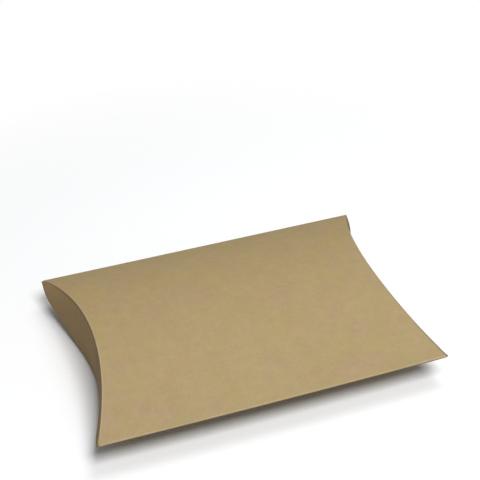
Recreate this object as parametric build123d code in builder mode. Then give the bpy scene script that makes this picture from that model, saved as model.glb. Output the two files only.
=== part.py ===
from build123d import *
import os

# Closed pillow box of thin kraft board.
# X runs along the box between its two curved ends, Y across it between its two side folds, Z up.
# The origin is on the surface that the box rests on, under its middle.

# Box
box_length = 178.0
box_width = 122.0
panel_rise = 15.0
crease_inset = 15.0
board_thickness = 0.45

# Side folds
fold_width = 2.2
fold_rounding = 0.4
corner_rounding = 1.0

# Curved creases
crease_width = 1.2
crease_rounding = 0.3

# End flaps
layer_clearance = 0.3
hinge_clearance = 0.4
flap_bevel = 0.3
flap_side_clearance = 0.6
outer_flap_lift = 1.0
inner_flap_top_clearance = 0.7
inner_flap_side_clearance = 2.0
notch_radius = 5.3

# Glued seam along the rear side fold
glue_thickness = 0.12
glue_flap_width = 15.0
glue_flap_setback = 6.0
glue_flap_taper = 12.0
glue_line_width = 8.0
glue_line_margin = 4.0
seam_setback = 0.5

# Cutting tools reach this far past what they cut
overrun = 2.0


def arc_radius(half_chord, sagitta):
    return (half_chord**2 + sagitta**2) / (2 * sagitta)


half_length = box_length / 2
half_width = box_width / 2
box_height = 2 * panel_rise

# The panels are arcs across Y, the end walls are arcs in plan
panel_radius = arc_radius(half_width, panel_rise)
top_axis = (0, box_height - panel_radius)
bottom_axis = (0, panel_radius)
end_radius = arc_radius(half_width, crease_inset)
end_axis = (half_length - crease_inset + end_radius, 0)

# The inner flaps and the bottom creases stand one layer inside the outer flaps
inner_layer = board_thickness + layer_clearance
seam_radius = panel_radius - board_thickness - glue_thickness

front_limit = -half_width + fold_width
bottom_rear_limit = half_width - fold_width
top_rear_limit = half_width - seam_setback

section_plane = Plane.YZ.offset(-half_length)


def section_ring(axis, outer_radius, thickness):
    with Locations(axis):
        Circle(outer_radius)
        Circle(outer_radius - thickness, mode=Mode.SUBTRACT)


def keep_section(low_y, high_y, low_z, high_z):
    with Locations(((low_y + high_y) / 2, (low_z + high_z) / 2)):
        Rectangle(high_y - low_y, high_z - low_z, mode=Mode.INTERSECT)


def plan_strip(low_y, high_y):
    with Locations((0, (low_y + high_y) / 2)):
        Rectangle(box_length, high_y - low_y)


def cut_both_ends(radius):
    with Locations(end_axis, (-end_axis[0], end_axis[1])):
        Circle(radius, mode=Mode.SUBTRACT)


def panel_section(low_y, high_y, is_top):
    # One panel's board, cut across the box
    section_ring(top_axis if is_top else bottom_axis, panel_radius, board_thickness)
    if is_top:
        keep_section(low_y, high_y, panel_rise, box_height + overrun)
    else:
        keep_section(low_y, high_y, -overrun, panel_rise)


def make_panel(high_y, layer, is_top):
    with BuildPart() as panel:
        with BuildSketch(section_plane):
            panel_section(front_limit, high_y, is_top)
        extrude(amount=box_length)
        with BuildSketch():
            plan_strip(front_limit, high_y)
            cut_both_ends(end_radius + layer + crease_width)
        extrude(amount=box_height, mode=Mode.INTERSECT)
    return panel.part


def make_crease(high_y, layer, is_top):
    # Scored strip along the curved end of a panel, rounded where the flap folds away from it
    with BuildPart() as crease:
        with BuildSketch(section_plane):
            panel_section(front_limit, high_y, is_top)
        extrude(amount=box_length)
        with BuildSketch():
            section_ring(end_axis, end_radius + layer + crease_width, crease_width)
            with Locations((half_length / 2, 0)):
                Rectangle(half_length, box_width, mode=Mode.INTERSECT)
        extrude(amount=box_height, mode=Mode.INTERSECT)
        long_edges = edges().filter_by(lambda edge: edge.length > half_width)
        nose_edges = long_edges.sort_by(Axis.X)[-2:].sort_by(Axis.Z)
        fillet(nose_edges[-1] if is_top else nose_edges[0], radius=crease_rounding)
    return crease.part


def make_fold(side, top_radius):
    # Side fold: the wedge where the two panels meet, with a rounded nose
    tip = 0 if side < 0 else -1
    with BuildPart() as fold:
        with BuildSketch(section_plane):
            with Locations(bottom_axis):
                Circle(panel_radius)
            with Locations(top_axis):
                Circle(top_radius, mode=Mode.INTERSECT)
            fillet(vertices().sort_by(Axis.X)[tip], radius=fold_rounding)
        extrude(amount=box_length)
        with BuildSketch(section_plane):
            with Locations(bottom_axis):
                Circle(panel_radius - board_thickness)
            with Locations(top_axis):
                Circle(top_radius - board_thickness, mode=Mode.INTERSECT)
        extrude(amount=box_length, mode=Mode.SUBTRACT)
        with BuildSketch():
            near = side * (half_width - fold_width)
            far = side * half_width
            plan_strip(min(near, far), max(near, far))
            cut_both_ends(end_radius)
            fillet(vertices().group_by(Axis.Y)[tip], radius=corner_rounding)
        extrude(amount=box_height, mode=Mode.INTERSECT)
    return fold.part


def make_outer_flap():
    # Hangs from the top crease, its free edge just clear of the surface below
    free_edge_depth = panel_rise - outer_flap_lift
    free_edge_radius = arc_radius(half_width, free_edge_depth)
    flap_half_width = half_width - fold_width - flap_side_clearance
    with BuildPart() as flap:
        with BuildSketch():
            section_ring(end_axis, end_radius + board_thickness, board_thickness)
            with Locations((half_length / 2, 0)):
                Rectangle(half_length, 2 * flap_half_width, mode=Mode.INTERSECT)
        extrude(amount=box_height)
        with BuildSketch(section_plane):
            with Locations(top_axis):
                Circle(panel_radius - board_thickness - hinge_clearance)
            with Locations((0, outer_flap_lift + free_edge_radius)):
                Circle(free_edge_radius, mode=Mode.INTERSECT)
        extrude(amount=box_length, mode=Mode.INTERSECT)
        # The fold is squeezed thin on its inside, which lets the flap swing out past the crease
        long_edges = edges().filter_by(lambda edge: edge.length > half_width)
        fold_edges = long_edges.sort_by(Axis.Z)[-2:].sort_by(Axis.X)
        chamfer(fold_edges[0], length=flap_bevel)
    return flap.part


def make_inner_flap():
    # Stands on the bottom crease behind the outer flap, with a half-round thumb notch
    reach = box_height - board_thickness - inner_flap_top_clearance
    flap_half_width = half_width - inner_flap_side_clearance
    with BuildPart() as flap:
        with BuildSketch():
            section_ring(end_axis, end_radius + inner_layer + board_thickness, board_thickness)
            with Locations((half_length / 2, 0)):
                Rectangle(half_length, box_width, mode=Mode.INTERSECT)
        extrude(amount=box_height)
        with BuildSketch(section_plane):
            Ellipse(flap_half_width, reach)
            with Locations(bottom_axis):
                Circle(panel_radius - board_thickness - hinge_clearance, mode=Mode.INTERSECT)
            with Locations((0, reach)):
                Circle(notch_radius, mode=Mode.SUBTRACT)
        extrude(amount=box_length, mode=Mode.INTERSECT)
    return flap.part


def make_glue_flap():
    near_y = bottom_rear_limit - glue_flap_width
    long_half = half_length - glue_flap_setback
    short_half = long_half - glue_flap_taper
    with BuildPart() as flap:
        with BuildSketch(section_plane):
            section_ring(top_axis, seam_radius, board_thickness)
            keep_section(near_y, bottom_rear_limit, panel_rise, box_height)
        extrude(amount=box_length)
        with BuildSketch():
            with BuildLine():
                Polyline(
                    (-long_half, bottom_rear_limit),
                    (long_half, bottom_rear_limit),
                    (short_half, near_y),
                    (-short_half, near_y),
                    close=True,
                )
            make_face()
        extrude(amount=box_height, mode=Mode.INTERSECT)
    return flap.part


def make_glue_line():
    far_y = bottom_rear_limit - glue_line_margin
    near_y = far_y - glue_line_width
    half_run = half_length - glue_flap_setback - glue_flap_taper
    with BuildPart() as line:
        with BuildSketch(Plane.YZ.offset(-half_run)):
            section_ring(top_axis, panel_radius - board_thickness, glue_thickness)
            keep_section(near_y, far_y, panel_rise, box_height)
        extrude(amount=2 * half_run)
    return line.part


def mirrored(right_part):
    with BuildPart() as left:
        mirror(right_part, about=Plane.YZ)
    return left.part


pieces = {
    "top_panel": make_panel(top_rear_limit, 0, is_top=True),
    "bottom_panel": make_panel(bottom_rear_limit, inner_layer, is_top=False),
    "front_fold": make_fold(-1, panel_radius),
    "rear_fold": make_fold(1, seam_radius),
    "glue_flap": make_glue_flap(),
    "glue_line": make_glue_line(),
    "right_top_crease": make_crease(top_rear_limit, 0, is_top=True),
    "right_bottom_crease": make_crease(bottom_rear_limit, inner_layer, is_top=False),
    "right_outer_flap": make_outer_flap(),
    "right_inner_flap": make_inner_flap(),
}

for right_name in [name for name in pieces if name.startswith("right_")]:
    pieces[right_name.replace("right_", "left_")] = mirrored(pieces[right_name])

os.makedirs("parts", exist_ok=True)
for name, piece in pieces.items():
    piece.label = name
    export_step(piece, f"parts/{name}.step")
    print(name, "volume", round(piece.volume, 2), "solids", len(piece.solids()))
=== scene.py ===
import math

import bpy
import numpy as np
from mathutils import Matrix, Vector


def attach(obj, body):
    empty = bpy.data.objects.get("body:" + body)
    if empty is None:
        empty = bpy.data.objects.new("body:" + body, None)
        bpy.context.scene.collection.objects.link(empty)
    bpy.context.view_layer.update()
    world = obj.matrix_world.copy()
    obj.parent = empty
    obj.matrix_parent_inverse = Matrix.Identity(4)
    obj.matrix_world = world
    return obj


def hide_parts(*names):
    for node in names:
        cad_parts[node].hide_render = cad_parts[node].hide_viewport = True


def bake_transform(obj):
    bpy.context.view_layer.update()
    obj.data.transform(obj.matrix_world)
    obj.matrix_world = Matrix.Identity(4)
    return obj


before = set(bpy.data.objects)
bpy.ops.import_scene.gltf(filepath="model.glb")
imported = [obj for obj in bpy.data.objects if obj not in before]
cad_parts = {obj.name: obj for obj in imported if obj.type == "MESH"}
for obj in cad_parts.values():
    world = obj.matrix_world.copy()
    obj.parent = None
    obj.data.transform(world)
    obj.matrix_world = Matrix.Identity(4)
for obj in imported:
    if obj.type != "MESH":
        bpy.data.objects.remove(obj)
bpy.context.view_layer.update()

bl_info = {
    "name": "Kraft pillow box",
    "version": (1, 0, 0),
    "blender": (4, 5, 0),
    "location": "3D View > Sidebar > Pillow Box",
    "description": "Folded kraft pillow box around its packed solids, with floor, lamps and camera",
    "category": "Object",
}

MM = 0.001
ENDS = {"right": 1, "left": -1}

# Places along an outer flap's free edge, from its front tip to its rear tip
FLAP_STATIONS = np.array([-61, -58, -52, -45, -35, -20, -6, 12, 28, 40, 48, 55, 61]) * MM
# How far the free edge springs out at each place, on the left and on the right
FLAP_STAND = {
    -1: np.array([-0.6, 1.3, 2.5, 2.9, 2.5, 1.4, 0.3, 1.3, 2.8, 3.5, 3.9, 3.4, 0.9]) * MM,
    1: np.array([-0.6, 0.6, 1.9, 2.3, 2.0, 1.2, 0.5, 1.1, 2.2, 2.9, 3.4, 3.0, -0.8]) * MM,
}
# How far the flap bellies out halfway down
FLAP_BELLY = {
    -1: np.array([0.0, 0.1, 0.2, 0.3, 0.4, 0.6, 0.7, 0.8, 0.9, 0.8, 0.6, 0.3, 0.1]) * MM,
    1: np.array([0.0, 0.1, 0.2, 0.3, 0.4, 0.6, 0.7, 0.7, 0.7, 0.6, 0.5, 0.3, 0.1]) * MM,
}
# A curve through those values is averaged over this far on each side
STATION_BLUR = 3 * MM
BLUR_SAMPLES = 7

# How quickly each effect of handling dies away from its corner or fold
PUSH_FALLOFF = 4.69
REACH_FALLOFF = 8
SPRING_FALLOFF = 4
TIP_ZONE = 7 * MM

# Faint waves in the top panel: a broad pattern, and a finer one on a slant
BROAD_WAVE = (31 * MM, 23 * MM)
BROAD_PHASE = (0.8, 2.1)
FINE_WAVE = 17 * MM
FINE_SLANT = 1.6
FINE_SHARE = 0.6

# The curved creases end this many fold roundings short of the side folds
CREASE_SETBACK = 1.8
# Least depth of an outer flap at its corners, and the most of that depth that the rounding takes
LEAST_DEPTH = 0.02 * MM
ROUNDING_SHARE = 0.4
# Least height of an inner flap at its sides, and how far short of its oval's tips the sides end
INNER_FLAP_LEAST_HEIGHT = 0.3 * MM
INNER_FLAP_CORNER = 1.5 * MM

# Mesh points
LENGTH_POINTS = 121
PANEL_POINTS = 91
CREASE_POINTS = 121
ROUNDING_POINTS = 11
FOLD_FACE_POINTS = 4
NOSE_POINTS = 13
FLAP_DEPTH_POINTS = 25
NOTCH_POINTS = 25
NOTCH_SIDE_POINTS = 50
SEAM_POINTS = 61
GLUE_FLAP_POINTS = 11
GLUE_LINE_POINTS = 7
# A surface's slope is taken over this step to each side
SLOPE_STEP = 2e-6

# Board face: each noise by its scale per metre, how it is stretched and how it is turned
MOTTLE = {"scale": 50, "detail": 3, "roughness": 0.6}
CLOUDS = {"scale": 230, "detail": 3, "roughness": 0.6, "stretch": (0.7, 1, 1), "turn": 0.4}
PULP = {"scale": 620}
DARK_SPECKS = {"scale": 900, "detail": 1, "stretch": (0.4, 1, 1), "turn": 0.5}
PALE_FLECKS = {"scale": 750, "detail": 1, "stretch": (0.35, 1, 1), "turn": 1.7}
WARM_PATCHES = {"scale": 48, "detail": 5, "roughness": 0.66}
OLIVE_PATCHES = {"scale": 41, "detail": 5, "roughness": 0.66, "stretch": (1, 1.3, 1), "turn": 0.7}
FIBRES = {"detail": 1.5, "stretch": (0.22, 1, 1)}
# Turn and scale of each run of fibres
FIBRE_RUNS = ((0.1, 2400), (0.9, 2900), (1.7, 2600), (2.5, 3100))
# The part of a noise's range over which it takes effect
WIDE_RANGE = (0.3, 0.7)
PATCH_RANGE = (0.46, 0.66)
FIBRE_RANGE = (0.6, 0.74)
FLECK_RANGE = (0.64, 0.76)
# How strongly each one colours the board
TINT_SHARES = {"mottle": 0.1, "clouds": 0.12, "pulp": 0.08}
PATCH_SHARE = 0.9
FIBRE_SHARE = 0.04
PALE_SHARE = 0.16
SPECK_SHARE = 0.2
# How much more or less red, green and blue the warm and the olive patches have than the board
WARM_SHIFT = (0.04, -0.032, 0.12)
OLIVE_SHIFT = (-0.015, 0.022, -0.14)
FLAP_MOTTLING = 2.0
# Creases rubbed pale, partly wear and partly painted highlight, are least pale between the clumps of pulp
WORN_AND_HIGHLIT_RANGE = (0.25, 0.6)
LEAST_WORN_AND_HIGHLIT = 0.55
# Roughness between and on the clumps of pulp, and how high the pulp and the fibres stand
PULP_RANGE = (0.2, 0.8)
DULL_ROUGHNESS = 0.72
SMOOTH_ROUGHNESS = 0.6
PULP_HEIGHT = 0.5
FIBRE_HEIGHT = 0.35
BOARD_SPECULAR = 0.35
BUMP_DEPTH = 0.05 * MM
BUMP_STRENGTH = 0.5
# The board's inner face takes its noise from another layer
INNER_FACE_LAYER = np.array([0, 0, 50 * MM])

# Half the floor's side, and how far from its middle it starts to turn white and is white
FLOOR_REACH = 4.0
SHADOW_REACH = 0.16
WHITE_REACH = 0.26
# Camera, with its sensor in millimetres and its clipping in metres
SENSOR_WIDTH = 36
CLIP_START = 0.01
CLIP_END = 20


# Sizes, colours and studio


def length_property(name, description, millimetres):
    return bpy.props.FloatProperty(
        name=name, description=description, default=millimetres * MM, unit="LENGTH", precision=5
    )


def place_property(name, description, millimetres):
    return bpy.props.FloatVectorProperty(
        name=name,
        description=description,
        default=[length * MM for length in millimetres],
        size=3,
        precision=5,
        subtype="TRANSLATION",
    )


def angle_property(name, description, degrees):
    return bpy.props.FloatProperty(
        name=name, description=description, default=math.radians(degrees), unit="ROTATION"
    )


def power_property(name, description, watts):
    return bpy.props.FloatProperty(name=name, description=description, default=watts, unit="POWER")


def colour_property(name, description, rgb):
    return bpy.props.FloatVectorProperty(
        name=name, description=description, default=rgb, size=3, min=0, max=1, subtype="COLOR"
    )


class PillowBoxSizes(bpy.types.PropertyGroup):
    box_length: length_property("Length", "Length between the tips of the two curved ends", 178)
    box_width: length_property("Width", "Width between the two side folds", 122)
    panel_rise: length_property("Panel rise", "Height of each panel's arc over its side folds", 15)
    board: length_property("Board", "Thickness of the kraft board", 0.45)
    fold_width: length_property("Side fold width", "Strip along each side that belongs to the fold", 2.2)
    fold_round: length_property("Side fold rounding", "Outer radius of the side folds", 0.85)
    crease_width: length_property("Crease width", "Strip along each curved crease", 1.2)
    crease_round: length_property("Crease rounding", "Outer radius of the curved creases", 0.75)
    layer_gap: length_property("Layer gap", "Room between the outer and the inner flap", 0.3)
    seam_setback: length_property("Seam setback", "Top panel's raw edge to the rear fold", 0.5)
    glue_thickness: length_property("Glue thickness", "Thickness of the glue line", 0.12)
    glue_flap_width: length_property("Glue flap width", "Width of the glue flap", 15)
    glue_flap_setback: length_property("Glue flap setback", "Glue flap's ends to the box's ends", 6)
    glue_flap_taper: length_property("Glue flap taper", "Taper of the glue flap's ends", 12)
    glue_line_width: length_property("Glue line width", "Width of the glue line", 8)
    glue_line_margin: length_property("Glue line margin", "Glue line to the rear fold", 4)
    outer_flap_lift: length_property("Outer flap lift", "Outer flap's lowest point over the floor", 1)
    left_flap_side_gap: length_property("Left flap side gap", "Left outer flap's corners to the tips", 0.8)
    right_flap_side_gap: length_property(
        "Right flap side gap", "Right outer flap's corners to the tips", 1.7
    )
    inner_flap_side_gap: length_property("Inner flap side gap", "Inner flap's sides to the folds", 2)
    inner_flap_top_gap: length_property("Inner flap top gap", "Inner flap's top to the top panel", 0.7)
    notch_radius: length_property("Notch radius", "Radius of the thumb notch", 5.3)
    flap_bend: length_property("Flap bend", "Depth over which a flap bends as it opens", 15)
    crease_spring: length_property("Crease spring", "How far the creases stand past their true line", 0.25)
    front_spring: length_property("Front spring", "How far the front fold has sprung outwards", 1.1)
    front_bow: length_property("Front bow", "How much further it has sprung at its middle", 0.6)
    tip_reach: length_property("Tip reach", "How far the four tips are drawn out to points", 0.3)
    tip_pinch: bpy.props.FloatProperty(
        name="Tip pinch", description="How much the four tips are pinched flat", default=0.5, min=0, max=1
    )
    front_right_reach: length_property(
        "Front right reach", "How far the front right corner is drawn out", 1.5
    )
    corner_set: place_property(
        "Pushed corner", "How far the rear left corner is pushed", (4.92, -0.12, 0.28)
    )
    wave: length_property("Wave", "Height of the faint waves in the top panel", 0.12)


class PillowBoxColours(bpy.types.PropertyGroup):
    kraft: colour_property("Kraft", "Board face", (0.42, 0.316, 0.153))
    # Painted bounce light: the flaps are the same board, made warmer to stand for light bounced off the box
    flap_kraft_with_painted_bounce: colour_property("Flap kraft with painted bounce light", "Warmer board face of the end flaps", (0.445, 0.296, 0.133))
    # Painted shade: the dark colour mixed into the fold noses' lower sides, outside the creases and over the
    # shaded parts of the flaps
    painted_fold_shade: colour_property("Pressed fold", "Shaded outer side of a fold", (0.11, 0.08, 0.045))
    dark_fibre: colour_property("Dark fibre", "Bark specks and shadows between fibres", (0.2, 0.13, 0.06))
    light_fibre: colour_property("Light fibre", "Pale fibres", (0.56, 0.45, 0.26))
    # Pale rim colour along the creases, partly wear and partly painted highlight
    worn_and_highlit_fold: colour_property("Worn fold", "Board rubbed pale along a crease", (0.56, 0.45, 0.27))
    # Painted shade: the cut edges are darker than the board to stand for the shade along them
    raw_edge_in_painted_shade: colour_property("Raw edge", "Cut edge of the board", (0.25, 0.19, 0.1))
    adhesive: colour_property("Adhesive", "Dried glue line", (0.72, 0.66, 0.5))
    floor: colour_property("Floor", "Floor as it lights the box", (0.5, 0.5, 0.5))
    seen_floor: colour_property(
        "Seen floor", "Floor near the box as the camera sees it", (0.985, 0.992, 1.0)
    )


class PillowBoxStudio(bpy.types.PropertyGroup):
    azimuth: angle_property("Azimuth", "Camera's turn round the box", 21.012)
    elevation: angle_property("Elevation", "Camera's height angle", 38.571)
    roll: angle_property("Roll", "Camera's roll", 1.121)
    distance: length_property("Distance", "Camera to its aim", 703.662)
    aim: place_property("Aim", "Point at the middle of the picture", (24.845, 59.025, 15))
    lens: bpy.props.FloatProperty(
        name="Lens", description="Focal length in mm", default=96.61, unit="CAMERA"
    )
    lamp_size: length_property("Lamp size", "Side of each soft lamp", 550)
    key_power: power_property("Key power", "Soft lamp above the front of the box", 10.2)
    key_place: place_property("Key place", "Front lamp's place", (80, -515, 1080))
    fill_power: power_property("Fill power", "Soft lamp above the rear right of the box", 3.9)
    fill_place: place_property("Fill place", "Rear lamp's place", (359, 359, 1088))
    room_light: bpy.props.FloatProperty(
        name="Room light", description="Level of the even light", default=0.22, min=0
    )


# Shape of the folded blank


class Shape:
    """The box's curves, in metres, with its middle at the origin and its belly on the floor."""

    def __init__(self, sizes):
        self.half_length = sizes.box_length / 2 + sizes.crease_spring
        self.half_width = sizes.box_width / 2
        self.rise = sizes.panel_rise
        self.radius = self.arc_radius(self.rise)
        self.fold_start = self.half_width - sizes.fold_width
        self.crease_end = self.half_width - CREASE_SETBACK * sizes.fold_round
        self.seam_edge = self.half_width - sizes.seam_setback
        self.inner_layer = sizes.board + sizes.layer_gap
        self.seam_drop = sizes.board + sizes.glue_thickness
        self.sizes = sizes

    def arc_radius(self, sagitta):
        """Radius of an arc across the whole width with this sagitta."""
        return (self.half_width**2 + sagitta**2) / (2 * sagitta)

    def top(self, y, drop=0.0):
        """Height of the top panel's face, or of a layer that lies drop under it."""
        return 2 * self.rise - self.radius + np.sqrt((self.radius - drop) ** 2 - y**2)

    def bottom(self, y):
        """Height of the bottom panel's face."""
        return self.radius - np.sqrt(self.radius**2 - y**2)

    def crease(self, y, inset=0.0):
        """How far out the curved crease stands, as a distance from the middle of the box."""
        radius = self.radius + inset
        middle = self.half_length - self.rise + self.radius
        return middle - np.sqrt(radius**2 - y**2)

    def free_edge(self, y):
        """Height of the outer flap's free edge."""
        lift = self.sizes.outer_flap_lift
        radius = self.arc_radius(self.rise - lift)
        return lift + radius - np.sqrt(radius**2 - y**2)

    def crease_round(self, y):
        """Outer radius of a curved crease, which dies out where the flap runs to a point."""
        depth = np.maximum(self.top(y) - self.free_edge(y), LEAST_DEPTH)
        return np.minimum(self.sizes.crease_round, ROUNDING_SHARE * depth)


def ease(share):
    """Smooth turn from 0 to 1."""
    share = np.clip(share, 0, 1)
    return share * share * (3 - 2 * share)


def fade(value, start, full):
    """0 up to the start, 1 from where it is full, and a smooth turn between."""
    return ease((value - start) / (full - start))


def band(value, middle, inner, outer):
    """1 within the inner distance of the middle, and 0 past the outer one."""
    return 1 - fade(np.abs(value - middle), inner, outer)


def stack(x, y, z):
    """Points from their three coordinates."""
    return np.stack(np.broadcast_arrays(x, y, z), -1)


def smooth_curve(y, values):
    """Rounded curve through values at the flap stations."""
    shifts = np.linspace(-STATION_BLUR, STATION_BLUR, BLUR_SAMPLES)
    return sum(np.interp(y + shift, FLAP_STATIONS, values) for shift in shifts) / BLUR_SAMPLES


def settle(points, shape):
    """Moves points of the true box to where handling has left them."""
    sizes = shape.sizes
    x, y, z = points[..., 0], points[..., 1], points[..., 2]
    left = 1 - np.clip((x / shape.half_length + 1) / 2, 0, 1)
    rear = np.clip((y / shape.half_width + 1) / 2, 0, 1)

    # The rear left corner is pushed in, and the front right one is drawn out
    pushed = (left * rear) ** PUSH_FALLOFF
    moved = points + pushed[..., None] * np.array(sizes.corner_set)
    moved[..., 0] += sizes.front_right_reach * ((1 - left) * (1 - rear)) ** REACH_FALLOFF

    # The front fold has sprung out, most at its middle
    front = np.clip(-y / shape.half_width, 0, 1) ** SPRING_FALLOFF
    bow = 1 - np.clip(x / shape.half_length, -1, 1) ** 2
    moved[..., 1] -= front * (sizes.front_spring + sizes.front_bow * bow)

    # The four tips are drawn out and pinched flat
    tip = fade(np.abs(x), shape.half_length - TIP_ZONE, shape.half_length)
    tip = tip * fade(np.abs(y), shape.half_width - TIP_ZONE, shape.half_width)
    moved[..., 0] += np.sign(x) * sizes.tip_reach * tip
    moved[..., 1] += np.sign(y) * sizes.tip_reach * tip / 2
    moved[..., 2] += (shape.rise - z) * sizes.tip_pinch * tip

    # Faint waves run through the top panel
    along = np.sin(x / BROAD_WAVE[0] + BROAD_PHASE[0])
    across = np.sin(y / BROAD_WAVE[1] + BROAD_PHASE[1])
    fine = np.sin((x + FINE_SLANT * y) / FINE_WAVE)
    up = np.clip(z / shape.rise - 1, 0, 1)
    moved[..., 2] += sizes.wave * up * (along * across + FINE_SHARE * fine)
    return moved


def hinge_range(shape, side, is_top):
    """Where a flap starts to turn, in the plane of its own crease, and where it turns fully."""
    y = np.array([-1, 0, 1]) * shape.half_width
    out = shape.crease(y, 0.0 if is_top else shape.inner_layer)
    height = shape.top(y) if is_top else shape.bottom(y)
    front, middle, rear = settle(stack(side * out, y, height), shape)
    inward = np.cross(front - middle, rear - middle) * (-side if is_top else side)
    inward /= np.linalg.norm(inward)
    return tuple(middle), tuple(middle + inward * shape.sizes.flap_bend)


# Sheets of board


def sheet_faces(rows, columns, flipped):
    """Faces of both sides of a grid of points, and of the walls round its rim."""
    count = rows * columns
    index = np.arange(count).reshape(rows, columns)
    corners = [index[:-1, :-1], index[1:, :-1], index[1:, 1:], index[:-1, 1:]]
    quads = np.stack(corners, -1).reshape(-1, 4)
    rim = np.concatenate([index[:-1, 0], index[-1, :-1], index[:0:-1, -1], index[0, :0:-1]])
    next_rim = np.roll(rim, -1)
    walls = np.stack([rim, rim + count, next_rim + count, next_rim], -1)
    if flipped:
        quads, walls = quads[:, ::-1], walls[:, ::-1]
    return np.concatenate([quads, quads[:, ::-1] + count]), walls


def mark_points(mesh, name, kind, key, outer, inner):
    """Stores a value at each point of the outer and then of the inner face."""
    values = np.concatenate([outer, inner]).astype(np.float32).ravel()
    mesh.attributes.new(name, kind, "POINT").data.foreach_set(key, values)


def board_piece(name, surface, us, vs, shape, thickness, outward, blank, marks=None):
    """Closes a sheet of board round a surface, with its inner face one thickness inside the outer one."""
    u, v = np.meshgrid(us, vs, indexing="ij")

    def face(u, v):
        return settle(surface(u, v), shape)

    outer = face(u, v)
    along = face(u + SLOPE_STEP, v) - face(u - SLOPE_STEP, v)
    across = face(u, v + SLOPE_STEP) - face(u, v - SLOPE_STEP)
    normal = np.cross(along, across) * outward
    normal /= np.linalg.norm(normal, axis=-1, keepdims=True)
    inner = outer - normal * thickness

    sides, walls = sheet_faces(*u.shape, flipped=outward < 0)
    faces = np.concatenate([sides, walls])
    mesh = bpy.data.meshes.new(name)
    mesh.from_pydata(np.concatenate([outer, inner]).reshape(-1, 3).tolist(), [], faces.tolist())
    mesh.update()
    mesh.polygons.foreach_set("material_index", [0] * len(sides) + [1] * len(walls))
    mesh.polygons.foreach_set("use_smooth", [True] * len(faces))

    side_normals = np.concatenate([normal.reshape(-1, 3), -normal.reshape(-1, 3)])
    wall_normals = np.array([wall.normal for wall in mesh.polygons[len(sides):]])
    corner_normals = np.concatenate([side_normals[sides.ravel()], np.repeat(wall_normals, 4, axis=0)])
    mesh.normals_split_custom_set(corner_normals.tolist())

    place = stack(*blank(u, v), 0.0)
    mark_points(mesh, "blank_place", "FLOAT_VECTOR", "vector", place, place + INNER_FACE_LAYER)
    amounts = marks(u, v) if marks else (0 * u, 0 * u)
    # The first mark paints the board paler, partly for wear and partly as a painted highlight; the second
    # paints shade
    for mark, amount in zip(("rubbed_and_highlit", "painted_shade"), amounts):
        mark_points(mesh, mark, "FLOAT", "value", amount, 0 * amount)
    piece = bpy.data.objects.new(name, mesh)
    bpy.context.scene.collection.objects.link(piece)
    return piece


def finish_piece(piece, node, materials, body, hinge=None):
    """Gives a piece its materials, and hangs it on its body's frame, or bakes its place into its mesh when
    it is given a hinge.
    """
    for material in materials:
        piece.data.materials.append(material)
    if hinge:
        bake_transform(piece)
    else:
        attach(piece, body)
    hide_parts(node)


# Materials


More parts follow.
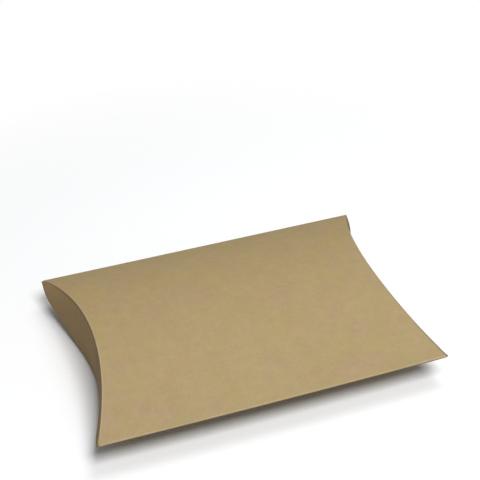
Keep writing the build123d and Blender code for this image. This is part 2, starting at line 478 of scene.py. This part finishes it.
def kraft_group():
    """Node group with the board's face: mottling, pulp clouds, fibres and bark specks, a paler rim along the
    folds that is partly wear and partly painted highlight, and painted shade.
    """
    found = bpy.data.node_groups.get("Kraft face")
    if found:
        return found
    group = bpy.data.node_groups.new("Kraft face", "ShaderNodeTree")
    face = group.interface
    face.new_socket(name="Place", in_out="INPUT", socket_type="NodeSocketVector")
    for name in ("Board", "Warm", "Olive", "Dark fibre", "Light fibre", "Worn and highlit", "Shaded"):
        face.new_socket(name=name, in_out="INPUT", socket_type="NodeSocketColor")
    for name in ("Rubbed and highlit", "Painted shade"):
        face.new_socket(name=name, in_out="INPUT", socket_type="NodeSocketFloat")
    face.new_socket(name="Colour", in_out="OUTPUT", socket_type="NodeSocketColor")
    face.new_socket(name="Roughness", in_out="OUTPUT", socket_type="NodeSocketFloat")
    face.new_socket(name="Height", in_out="OUTPUT", socket_type="NodeSocketFloat")
    nodes, links = group.nodes, group.links
    given = nodes.new("NodeGroupInput").outputs
    made = nodes.new("NodeGroupOutput").inputs

    def noise(scale, detail=2.0, stretch=(1, 1, 1), turn=0.0, roughness=0.5):
        mapping = nodes.new("ShaderNodeMapping")
        mapping.inputs["Rotation"].default_value = (0, 0, turn)
        mapping.inputs["Scale"].default_value = stretch
        links.new(given["Place"], mapping.inputs["Vector"])
        texture = nodes.new("ShaderNodeTexNoise")
        texture.inputs["Scale"].default_value = scale
        texture.inputs["Detail"].default_value = detail
        texture.inputs["Roughness"].default_value = roughness
        links.new(mapping.outputs["Vector"], texture.inputs["Vector"])
        return texture.outputs["Fac"]

    def ramp(value, span, low=0.0, high=1.0):
        node = nodes.new("ShaderNodeMapRange")
        node.inputs["From Min"].default_value, node.inputs["From Max"].default_value = span
        node.inputs["To Min"].default_value = low
        node.inputs["To Max"].default_value = high
        links.new(value, node.inputs["Value"])
        return node.outputs["Result"]

    def combine(operation, a, b):
        node = nodes.new("ShaderNodeMath")
        node.operation = operation
        links.new(a, node.inputs[0])
        if isinstance(b, float):
            node.inputs[1].default_value = b
        else:
            links.new(b, node.inputs[1])
        return node.outputs[0]

    def mix(colour, other, share):
        node = nodes.new("ShaderNodeMix")
        node.data_type = "RGBA"
        share_socket, _, _, _, _, _, first, second, *_ = node.inputs
        links.new(share, share_socket)
        links.new(colour, first)
        links.new(other, second)
        return next(socket for socket in node.outputs if socket.type == "RGBA")

    mottle, clouds, pulp = noise(**MOTTLE), noise(**CLOUDS), noise(**PULP)
    fibres = None
    for turn, scale in FIBRE_RUNS:
        run = ramp(noise(scale, turn=turn, **FIBRES), FIBRE_RANGE)
        fibres = run if fibres is None else combine("MAXIMUM", fibres, run)
    tint = ramp(mottle, WIDE_RANGE, high=TINT_SHARES["mottle"])
    tint = combine("ADD", tint, ramp(clouds, WIDE_RANGE, high=TINT_SHARES["clouds"]))
    tint = combine("ADD", tint, ramp(pulp, WIDE_RANGE, high=TINT_SHARES["pulp"]))
    # Paler rim along the folds, partly wear and partly painted highlight, patchy with the pulp
    worn_and_highlit = combine("MULTIPLY", given["Rubbed and highlit"], ramp(pulp, WORN_AND_HIGHLIT_RANGE, low=LEAST_WORN_AND_HIGHLIT))
    colour = given["Board"]
    for other, share in (
        ("Warm", ramp(noise(**WARM_PATCHES), PATCH_RANGE, high=PATCH_SHARE)),
        ("Olive", ramp(noise(**OLIVE_PATCHES), PATCH_RANGE, high=PATCH_SHARE)),
        ("Dark fibre", tint),
        ("Light fibre", combine("MULTIPLY", fibres, FIBRE_SHARE)),
        ("Light fibre", ramp(noise(**PALE_FLECKS), FLECK_RANGE, high=PALE_SHARE)),
        ("Dark fibre", ramp(noise(**DARK_SPECKS), FLECK_RANGE, high=SPECK_SHARE)),
        # The last two mixes make the rim along the folds paler, partly wear and partly painted highlight,
        # and then paint shade
        ("Worn and highlit", worn_and_highlit),
        ("Shaded", given["Painted shade"]),
    ):
        colour = mix(colour, given[other], share)
    links.new(colour, made["Colour"])
    roughness = ramp(pulp, PULP_RANGE, low=DULL_ROUGHNESS, high=SMOOTH_ROUGHNESS)
    links.new(roughness, made["Roughness"])
    pulp_height = combine("MULTIPLY", pulp, PULP_HEIGHT)
    height = combine("ADD", pulp_height, combine("MULTIPLY", fibres, FIBRE_HEIGHT))
    links.new(height, made["Height"])
    return group


def kraft_material(name, board, colours, mottling=1.0):
    """Board of one colour, whose warm and olive patches are as strong as the mottling says."""
    found = bpy.data.materials.get(name)
    if found:
        return found
    material = bpy.data.materials.new(name)
    material.use_nodes = True
    nodes, links = material.node_tree.nodes, material.node_tree.links
    shader = nodes["Principled BSDF"]
    shader.inputs["Specular IOR Level"].default_value = BOARD_SPECULAR
    kraft = nodes.new("ShaderNodeGroup")
    kraft.node_tree = kraft_group()
    for socket, colour in (
        ("Board", board),
        ("Warm", [level * (1 + mottling * shift) for level, shift in zip(board, WARM_SHIFT)]),
        ("Olive", [level * (1 + mottling * shift) for level, shift in zip(board, OLIVE_SHIFT)]),
        ("Dark fibre", colours.dark_fibre),
        ("Light fibre", colours.light_fibre),
        ("Worn and highlit", colours.worn_and_highlit_fold),
        ("Shaded", colours.painted_fold_shade),
    ):
        kraft.inputs[socket].default_value = (*colour, 1)
    # The two marks carry a paler rim, partly wear and partly painted highlight, and painted shade into the
    # material
    for attribute, output, socket in (
        ("blank_place", "Vector", "Place"),
        ("rubbed_and_highlit", "Fac", "Rubbed and highlit"),
        ("painted_shade", "Fac", "Painted shade"),
    ):
        reader = nodes.new("ShaderNodeAttribute")
        reader.attribute_name = attribute
        links.new(reader.outputs[output], kraft.inputs[socket])
    bump = nodes.new("ShaderNodeBump")
    bump.inputs["Distance"].default_value = BUMP_DEPTH
    bump.inputs["Strength"].default_value = BUMP_STRENGTH
    links.new(kraft.outputs["Colour"], shader.inputs["Base Color"])
    links.new(kraft.outputs["Roughness"], shader.inputs["Roughness"])
    links.new(kraft.outputs["Height"], bump.inputs["Height"])
    links.new(bump.outputs["Normal"], shader.inputs["Normal"])
    return material


def board_materials(colours, flap=False):
    """A piece's face and its cut edge, with the edge darkened as painted shade; a flap's face is warmer as
    painted bounce light.
    """
    raw_edge_in_painted_shade = kraft_material("Raw board edge in painted shade", colours.raw_edge_in_painted_shade, colours)
    if flap:
        return kraft_material("Kraft flap with painted bounce light", colours.flap_kraft_with_painted_bounce, colours, FLAP_MOTTLING), raw_edge_in_painted_shade
    return kraft_material("Kraft board", colours.kraft, colours), raw_edge_in_painted_shade


# Surfaces of the pieces


def panel_surface(shape, is_top):
    """Panel face by (share of its length, y), from the left crease strip to the right one."""
    inset = 0.0 if is_top else shape.inner_layer

    def surface(u, y):
        reach = shape.crease(y, inset) - shape.sizes.crease_width
        return stack(u * reach, y, shape.top(y) if is_top else shape.bottom(y))

    return surface


def flap_profile(shape, y, side):
    """An outer flap's section at y: the turn of its crease, its belly and how far its free edge stands."""
    depth = np.maximum(shape.top(y) - shape.crease_round(y) / 2 - shape.free_edge(y), LEAST_DEPTH)
    belly = smooth_curve(y, FLAP_BELLY[side])
    stand = smooth_curve(y, FLAP_STAND[side])
    turn = math.pi / 2 - np.arctan((stand + 4 * belly) / depth)
    return turn, belly, stand


def crease_surface(shape, side, is_top):
    """Scored strip by (0 to 1 along its flat and 1 to 2 round its rounding, y)."""
    inset = 0.0 if is_top else shape.inner_layer

    def surface(u, y):
        rounding = shape.crease_round(y)
        turn = flap_profile(shape, y, side)[0] if is_top else math.pi / 2
        angle = np.maximum(u - 1, 0) * turn
        short_of_round = (1 - np.minimum(u, 1)) * (shape.sizes.crease_width - rounding)
        x = shape.crease(y, inset) - rounding - short_of_round + rounding * np.sin(angle)
        fall = rounding * (1 - np.cos(angle))
        z = shape.top(y) - fall if is_top else shape.bottom(y) + fall
        return stack(side * x, y, z)

    return surface


def outer_flap_surface(shape, side):
    """Outer flap by (share of its depth, y)."""

    def surface(q, y):
        rounding = shape.crease_round(y)
        turn, belly, stand = flap_profile(shape, y, side)
        start_x = shape.crease(y) - rounding * (1 - np.sin(turn))
        start_z = shape.top(y) - rounding * (1 - np.cos(turn))
        x = start_x + stand * q + 4 * belly * q * (1 - q)
        return stack(side * x, y, start_z - q * (start_z - shape.free_edge(y)))

    return surface


def inner_flap_surface(shape, side):
    """Inner flap by (share of its height, y), with its rounded top and the thumb notch."""
    sizes = shape.sizes
    reach = 2 * shape.rise - sizes.board - sizes.inner_flap_top_gap
    half = shape.half_width - sizes.inner_flap_side_gap

    def surface(q, y):
        start = shape.bottom(y) + sizes.crease_round
        edge = reach * np.sqrt(np.maximum(1 - (y / half) ** 2, 0))
        in_notch = np.abs(y) < sizes.notch_radius
        bite = np.sqrt(np.where(in_notch, sizes.notch_radius**2 - y**2, 0))
        edge = np.where(in_notch, np.minimum(edge, reach - bite), edge)
        edge = np.maximum(edge, start + INNER_FLAP_LEAST_HEIGHT)
        return stack(side * shape.crease(y, shape.inner_layer), y, start + q * (edge - start))

    return surface


def fold_section(shape, side, drop):
    """Section of a side fold by path length: bottom face, rounded nose and top face, and where each ends."""
    nose = shape.sizes.fold_round
    bottom_radius, top_radius = shape.radius, shape.radius - drop
    bottom_centre, top_centre = shape.radius, 2 * shape.rise - shape.radius
    low, high = bottom_radius - nose, top_radius - nose
    centre_z = shape.rise + (high**2 - low**2) / (4 * (shape.radius - shape.rise))
    centre_y = math.sqrt(low**2 - (centre_z - bottom_centre) ** 2)
    low_turn = math.atan2(centre_z - bottom_centre, centre_y)
    high_turn = math.atan2(centre_z - top_centre, centre_y)
    low_start = math.asin(shape.fold_start / bottom_radius) - math.pi / 2
    high_end = math.pi / 2 - math.asin(shape.fold_start / top_radius)
    arcs = (
        (bottom_radius, 0, bottom_centre, low_start, low_turn),
        (nose, centre_y, centre_z, low_turn, high_turn),
        (top_radius, 0, top_centre, high_turn, high_end),
    )
    ends = np.cumsum([0] + [radius * (to - turn) for radius, _, _, turn, to in arcs])

    def section(s):
        points = []
        for (radius, middle_y, middle_z, turn, _), start in zip(arcs, ends):
            angle = turn + (s - start) / radius
            points.append((middle_y + radius * np.cos(angle), middle_z + radius * np.sin(angle)))
        kinds = [s < ends[1], s < ends[2]]
        y, z = (np.select(kinds, (bottom, nosed), top) for bottom, nosed, top in zip(*points))
        return side * y, z

    return section, ends


# Pieces


class BoxOperator:
    """What the operators share"""

    bl_options = {"REGISTER"}


class PILLOWBOX_OT_panels(BoxOperator, bpy.types.Operator):
    """Top and bottom panel, each bent to a shallow arc"""

    bl_idname = "pillow_box.panels"
    bl_label = "Panels"

    def execute(self, context):
        shape = Shape(context.scene.pillow_box_sizes)
        materials = board_materials(context.scene.pillow_box_colours)
        shares = np.linspace(-1, 1, LENGTH_POINTS)
        for node, is_top in (("top_panel", True), ("bottom_panel", False)):
            rear = shape.seam_edge if is_top else shape.fold_start
            on_blank = 0.0 if is_top else 2 * shape.half_width
            piece = board_piece(
                node + "_board",
                panel_surface(shape, is_top),
                shares,
                np.linspace(-shape.fold_start, rear, PANEL_POINTS),
                shape,
                shape.sizes.board,
                1 if is_top else -1,
                lambda u, y: (u * shape.half_length, y + on_blank),
            )
            finish_piece(piece, node, materials, "sleeve")
        return {"FINISHED"}


class PILLOWBOX_OT_side_folds(BoxOperator, bpy.types.Operator):
    """Front and rear side fold"""

    bl_idname = "pillow_box.side_folds"
    bl_label = "Side folds"

    def execute(self, context):
        shape = Shape(context.scene.pillow_box_sizes)
        materials = board_materials(context.scene.pillow_box_colours)
        shares = np.linspace(-1, 1, LENGTH_POINTS)
        for node, side in (("front_fold", -1), ("rear_fold", 1)):
            section, ends = fold_section(shape, side, 0.0 if side < 0 else shape.seam_drop)
            bottom_face = np.linspace(ends[0], ends[1], FOLD_FACE_POINTS)[:-1]
            nose = np.linspace(ends[1], ends[2], NOSE_POINTS)
            top_face = np.linspace(ends[2], ends[3], FOLD_FACE_POINTS)[1:]

            def surface(u, s):
                y, z = section(s)
                return stack(u * (shape.crease(y) - shape.sizes.crease_width), y, z)

            def marks(u, s):
                """Paler on the nose's upper side, partly wear and partly painted highlight, and painted
                shade below.
                """
                round_nose = (s - ends[1]) / (ends[2] - ends[1])
                rubbed_and_highlit = 0.6 * band(round_nose, 0.78, 0.1, 0.3)
                painted_shade = fade(round_nose, -0.4, -0.2) * (1 - fade(round_nose, 0.35, 0.55))
                return rubbed_and_highlit, painted_shade

            piece = board_piece(
                node + "_board",
                surface,
                shares,
                np.concatenate([bottom_face, nose, top_face]),
                shape,
                shape.sizes.board,
                -side,
                lambda u, s: (u * shape.half_length, side * (shape.half_width + s)),
                marks,
            )
            finish_piece(piece, node, materials, "sleeve")
        return {"FINISHED"}


class PILLOWBOX_OT_creases(BoxOperator, bpy.types.Operator):
    """Four curved creases, one at each end of each panel"""

    bl_idname = "pillow_box.creases"
    bl_label = "Curved creases"

    def execute(self, context):
        shape = Shape(context.scene.pillow_box_sizes)
        materials = board_materials(context.scene.pillow_box_colours)
        strip = np.append(0, np.linspace(1, 2, ROUNDING_POINTS))

        def marks(u, y, side):
            """Paler along the rounding, partly wear and partly painted highlight, and painted shade outside
            it, at the tips and low on the right.
            """
            rear = y / shape.half_width
            front = -rear
            # Painted shade at both tips
            dark = 0.6 * fade(np.abs(rear), 0.93, 0.98)
            if side < 0:
                wear_and_highlight = 0.4 + 0.3 * fade(front, 0, 0.3)
            else:
                wear_and_highlight = 0.1 + 0.5 * fade(rear, 0.7, 0.85)
                # Painted shade on the right crease, growing towards its front tip
                dark = np.maximum(dark, 0.25 * fade(front, -0.2, 0.3) + 0.65 * fade(front, 0.6, 0.85))
            rubbed_and_highlit = wear_and_highlight * band(u, 1.3, 0.125, 0.375)
            painted_shade = np.maximum(0.5 * fade(u, 1.6, 1.8), dark * fade(u, 0.9, 1.05))
            return rubbed_and_highlit, painted_shade

        for end, side in ENDS.items():
            for level, is_top in (("top", True), ("bottom", False)):
                rear = shape.seam_edge if is_top else shape.crease_end
                piece = board_piece(
                    f"{end}_{level}_crease_board",
                    crease_surface(shape, side, is_top),
                    strip,
                    np.linspace(-shape.crease_end, rear, CREASE_POINTS),
                    shape,
                    shape.sizes.board,
                    side if is_top else -side,
                    lambda u, y: (side * (shape.crease(y) + (u - 1) * MM), y),
                    lambda u, y: marks(u, y, side),
                )
                finish_piece(piece, f"{end}_{level}_crease", materials, "sleeve")
        return {"FINISHED"}


class PILLOWBOX_OT_outer_flaps(BoxOperator, bpy.types.Operator):
    """Outer end flaps, hung from the top creases"""

    bl_idname = "pillow_box.outer_flaps"
    bl_label = "Outer flaps"

    def execute(self, context):
        shape = Shape(context.scene.pillow_box_sizes)
        materials = board_materials(context.scene.pillow_box_colours, flap=True)

        def marks(q, y, side):
            """Painted shade under the crease, at both tips and towards the end where the flap stands in
            shade.
            """
            rear = y / shape.half_width
            under_crease = 0.5 * (1 - fade(q, 0, 1 / 16))
            tip = 0.45 * fade(np.abs(rear), 0.9, 0.96)
            shaded = 0.5 * fade(rear, 0.6, 0.8) if side > 0 else 0.3 * fade(-rear, 0, 0.25)
            return 0 * q, np.maximum(under_crease, np.maximum(tip, shaded))

        for end, side in ENDS.items():
            flap = f"{end}_outer_flap"
            half = shape.half_width - getattr(shape.sizes, f"{end}_flap_side_gap")
            piece = board_piece(
                flap + "_board",
                outer_flap_surface(shape, side),
                np.linspace(0, 1, FLAP_DEPTH_POINTS),
                np.linspace(-half, half, CREASE_POINTS),
                shape,
                shape.sizes.board,
                side,
                lambda q, y: (side * (shape.half_length + q * 2 * (shape.top(y) - shape.rise)), y),
                lambda q, y: marks(q, y, side),
            )
            finish_piece(piece, flap, materials, flap, hinge_range(shape, side, True))
        return {"FINISHED"}


class PILLOWBOX_OT_inner_flaps(BoxOperator, bpy.types.Operator):
    """Inner end flaps, standing on the bottom creases, with a thumb notch each"""

    bl_idname = "pillow_box.inner_flaps"
    bl_label = "Inner flaps"

    def execute(self, context):
        shape = Shape(context.scene.pillow_box_sizes)
        materials = board_materials(context.scene.pillow_box_colours, flap=True)
        half = shape.half_width - shape.sizes.inner_flap_side_gap - INNER_FLAP_CORNER
        radius = shape.sizes.notch_radius
        beside = np.linspace(radius, half, NOTCH_SIDE_POINTS)[1:]
        notch = radius * np.sin(np.linspace(-math.pi / 2, math.pi / 2, NOTCH_POINTS))
        across = np.concatenate([-beside[::-1], notch, beside])
        for end, side in ENDS.items():
            flap = f"{end}_inner_flap"
            piece = board_piece(
                flap + "_board",
                inner_flap_surface(shape, side),
                np.linspace(0, 1, FLAP_DEPTH_POINTS),
                across,
                shape,
                shape.sizes.board,
                -side,
                lambda q, y: (side * (2 * shape.half_length + q * 2 * shape.rise), y),
            )
            finish_piece(piece, flap, materials, flap, hinge_range(shape, side, False))
        return {"FINISHED"}


class PILLOWBOX_OT_seam(BoxOperator, bpy.types.Operator):
    """Glue flap inside the rear side fold, and the glue line that holds it"""

    bl_idname = "pillow_box.seam"
    bl_label = "Glued seam"

    def execute(self, context):
        shape = Shape(context.scene.pillow_box_sizes)
        sizes = shape.sizes
        colours = context.scene.pillow_box_colours
        shares = np.linspace(-1, 1, SEAM_POINTS)
        long_half = shape.half_length - sizes.glue_flap_setback
        short_half = long_half - sizes.glue_flap_taper
        near = shape.fold_start - sizes.glue_flap_width

        def glue_flap(u, y):
            reach = short_half + (long_half - short_half) * (y - near) / sizes.glue_flap_width
            return stack(u * reach, y, shape.top(y, shape.seam_drop))

        def glue_line(u, y):
            return stack(u * short_half, y, shape.top(y, sizes.board))

        def blank(u, y):
            return u * shape.half_length, y + 4 * shape.half_width

        across = np.linspace(near, shape.fold_start, GLUE_FLAP_POINTS)
        piece = board_piece("glue_flap_board", glue_flap, shares, across, shape, sizes.board, 1, blank)
        finish_piece(piece, "glue_flap", board_materials(colours), "sleeve")
        far = shape.fold_start - sizes.glue_line_margin
        across = np.linspace(far - sizes.glue_line_width, far, GLUE_LINE_POINTS)
        thickness = sizes.glue_thickness
        piece = board_piece("glue_line_bead", glue_line, shares, across, shape, thickness, 1, blank)
        adhesive = kraft_material("Adhesive", colours.adhesive, colours)
        finish_piece(piece, "glue_line", (adhesive, adhesive), "sleeve")
        return {"FINISHED"}


# Stage


class PILLOWBOX_OT_stage(BoxOperator, bpy.types.Operator):
    """Floor, lamps and camera"""

    bl_idname = "pillow_box.stage"
    bl_label = "Stage"

    def execute(self, context):
        scene = context.scene
        scene.view_settings.view_transform = "Standard"
        self.make_floor(scene, scene.pillow_box_colours)
        self.make_room_light(scene, scene.pillow_box_studio)
        self.make_lamps(scene, scene.pillow_box_studio)
        self.make_camera(scene, scene.pillow_box_studio)
        return {"FINISHED"}

    def make_floor(self, scene, colours):
        mesh = bpy.data.meshes.new("floor")
        corners = [(x * FLOOR_REACH, y * FLOOR_REACH, 0) for x, y in ((-1, -1), (1, -1), (1, 1), (-1, 1))]
        mesh.from_pydata(corners, [], [(0, 1, 2, 3)])
        mesh.materials.append(self.floor_material(colours))
        floor = bpy.data.objects.new("floor", mesh)
        scene.collection.objects.link(floor)

    def floor_material(self, colours):
        """Grey floor for the light, pale for the camera, and plain white further out."""
        material = bpy.data.materials.new("Floor")
        material.use_nodes = True
        nodes, links = material.node_tree.nodes, material.node_tree.links
        nodes.clear()

        def surface(colour):
            shader = nodes.new("ShaderNodeBsdfDiffuse")
            shader.inputs["Color"].default_value = (*colour, 1)
            return shader.outputs[0]

        def mix(share, first, second):
            shader = nodes.new("ShaderNodeMixShader")
            for value, socket in zip((share, first, second), shader.inputs):
                links.new(value, socket)
            return shader.outputs[0]

        camera_ray = nodes.new("ShaderNodeLightPath").outputs["Is Camera Ray"]
        distance = nodes.new("ShaderNodeVectorMath")
        distance.operation = "LENGTH"
        links.new(nodes.new("ShaderNodeTexCoord").outputs["Object"], distance.inputs[0])
        far = nodes.new("ShaderNodeMapRange")
        far.inputs["From Min"].default_value = SHADOW_REACH
        far.inputs["From Max"].default_value = WHITE_REACH
        links.new(distance.outputs["Value"], far.inputs["Value"])
        white_share = nodes.new("ShaderNodeMath")
        white_share.operation = "MULTIPLY"
        links.new(camera_ray, white_share.inputs[0])
        links.new(far.outputs["Result"], white_share.inputs[1])
        near_floor = mix(camera_ray, surface(colours.floor), surface(colours.seen_floor))
        white = nodes.new("ShaderNodeEmission").outputs[0]
        output = nodes.new("ShaderNodeOutputMaterial")
        links.new(mix(white_share.outputs[0], near_floor, white), output.inputs["Surface"])
        return material

    def make_room_light(self, scene, studio):
        world = bpy.data.worlds.new("Studio")
        scene.world = world
        world.use_nodes = True
        nodes, links = world.node_tree.nodes, world.node_tree.links
        background = nodes["Background"]
        background.inputs["Color"].default_value = (1, 1, 1, 1)
        seen = nodes.new("ShaderNodeLightPath")
        level = nodes.new("ShaderNodeMapRange")
        level.inputs["To Min"].default_value = studio.room_light
        level.inputs["To Max"].default_value = 1.0
        links.new(seen.outputs["Is Camera Ray"], level.inputs["Value"])
        links.new(level.outputs["Result"], background.inputs["Strength"])

    def make_lamps(self, scene, studio):
        for name, power, place in (
            ("key_lamp", studio.key_power, studio.key_place),
            ("fill_lamp", studio.fill_power, studio.fill_place),
        ):
            light = bpy.data.lights.new(name, "AREA")
            light.shape = "SQUARE"
            light.size = studio.lamp_size
            light.energy = power
            lamp = bpy.data.objects.new(name, light)
            lamp.location = place
            lamp.rotation_euler = Vector(place).to_track_quat("Z", "Y").to_euler()
            scene.collection.objects.link(lamp)

    def make_camera(self, scene, studio):
        azimuth, elevation, roll = studio.azimuth, studio.elevation, studio.roll
        level = math.cos(elevation)
        look = Vector((level * math.sin(azimuth), level * math.cos(azimuth), -math.sin(elevation)))
        right = Vector((math.cos(azimuth), -math.sin(azimuth), 0))
        up = right.cross(look)
        rolled_right = math.cos(roll) * right + math.sin(roll) * up
        rolled_up = math.cos(roll) * up - math.sin(roll) * right
        lens = bpy.data.cameras.new("camera")
        lens.sensor_width = SENSOR_WIDTH
        lens.lens = studio.lens
        lens.clip_start, lens.clip_end = CLIP_START, CLIP_END
        camera = bpy.data.objects.new("camera", lens)
        place = Matrix((rolled_right, rolled_up, -look)).transposed().to_4x4()
        place.translation = Vector(studio.aim) - look * studio.distance
        camera.matrix_world = place
        scene.collection.objects.link(camera)
        scene.camera = camera


# Sidebar and registration

STEPS = (
    PILLOWBOX_OT_panels,
    PILLOWBOX_OT_side_folds,
    PILLOWBOX_OT_creases,
    PILLOWBOX_OT_outer_flaps,
    PILLOWBOX_OT_inner_flaps,
    PILLOWBOX_OT_seam,
    PILLOWBOX_OT_stage,
)

GROUPS = {
    "pillow_box_sizes": PillowBoxSizes,
    "pillow_box_colours": PillowBoxColours,
    "pillow_box_studio": PillowBoxStudio,
}


class PILLOWBOX_PT_sidebar(bpy.types.Panel):
    """Steps that make the box and its stage, and what they work from"""

    bl_idname = "PILLOWBOX_PT_sidebar"
    bl_label = "Pillow box"
    bl_space_type = "VIEW_3D"
    bl_region_type = "UI"
    bl_category = "Pillow Box"

    def draw(self, context):
        for step in STEPS:
            self.layout.operator(step.bl_idname)
        for settings, group in GROUPS.items():
            column = self.layout.column()
            for name in group.__annotations__:
                column.prop(getattr(context.scene, settings), name)


def register():
    for settings, group in GROUPS.items():
        bpy.utils.register_class(group)
        setattr(bpy.types.Scene, settings, bpy.props.PointerProperty(type=group))
    for step in (*STEPS, PILLOWBOX_PT_sidebar):
        bpy.utils.register_class(step)


def unregister():
    for step in (PILLOWBOX_PT_sidebar, *reversed(STEPS)):
        bpy.utils.unregister_class(step)
    for settings, group in GROUPS.items():
        delattr(bpy.types.Scene, settings)
        bpy.utils.unregister_class(group)


def main():
    register()
    bpy.ops.pillow_box.panels()
    bpy.ops.pillow_box.side_folds()
    bpy.ops.pillow_box.creases()
    bpy.ops.pillow_box.outer_flaps()
    bpy.ops.pillow_box.inner_flaps()
    bpy.ops.pillow_box.seam()
    bpy.ops.pillow_box.stage()


if __name__ == "__main__":
    main()
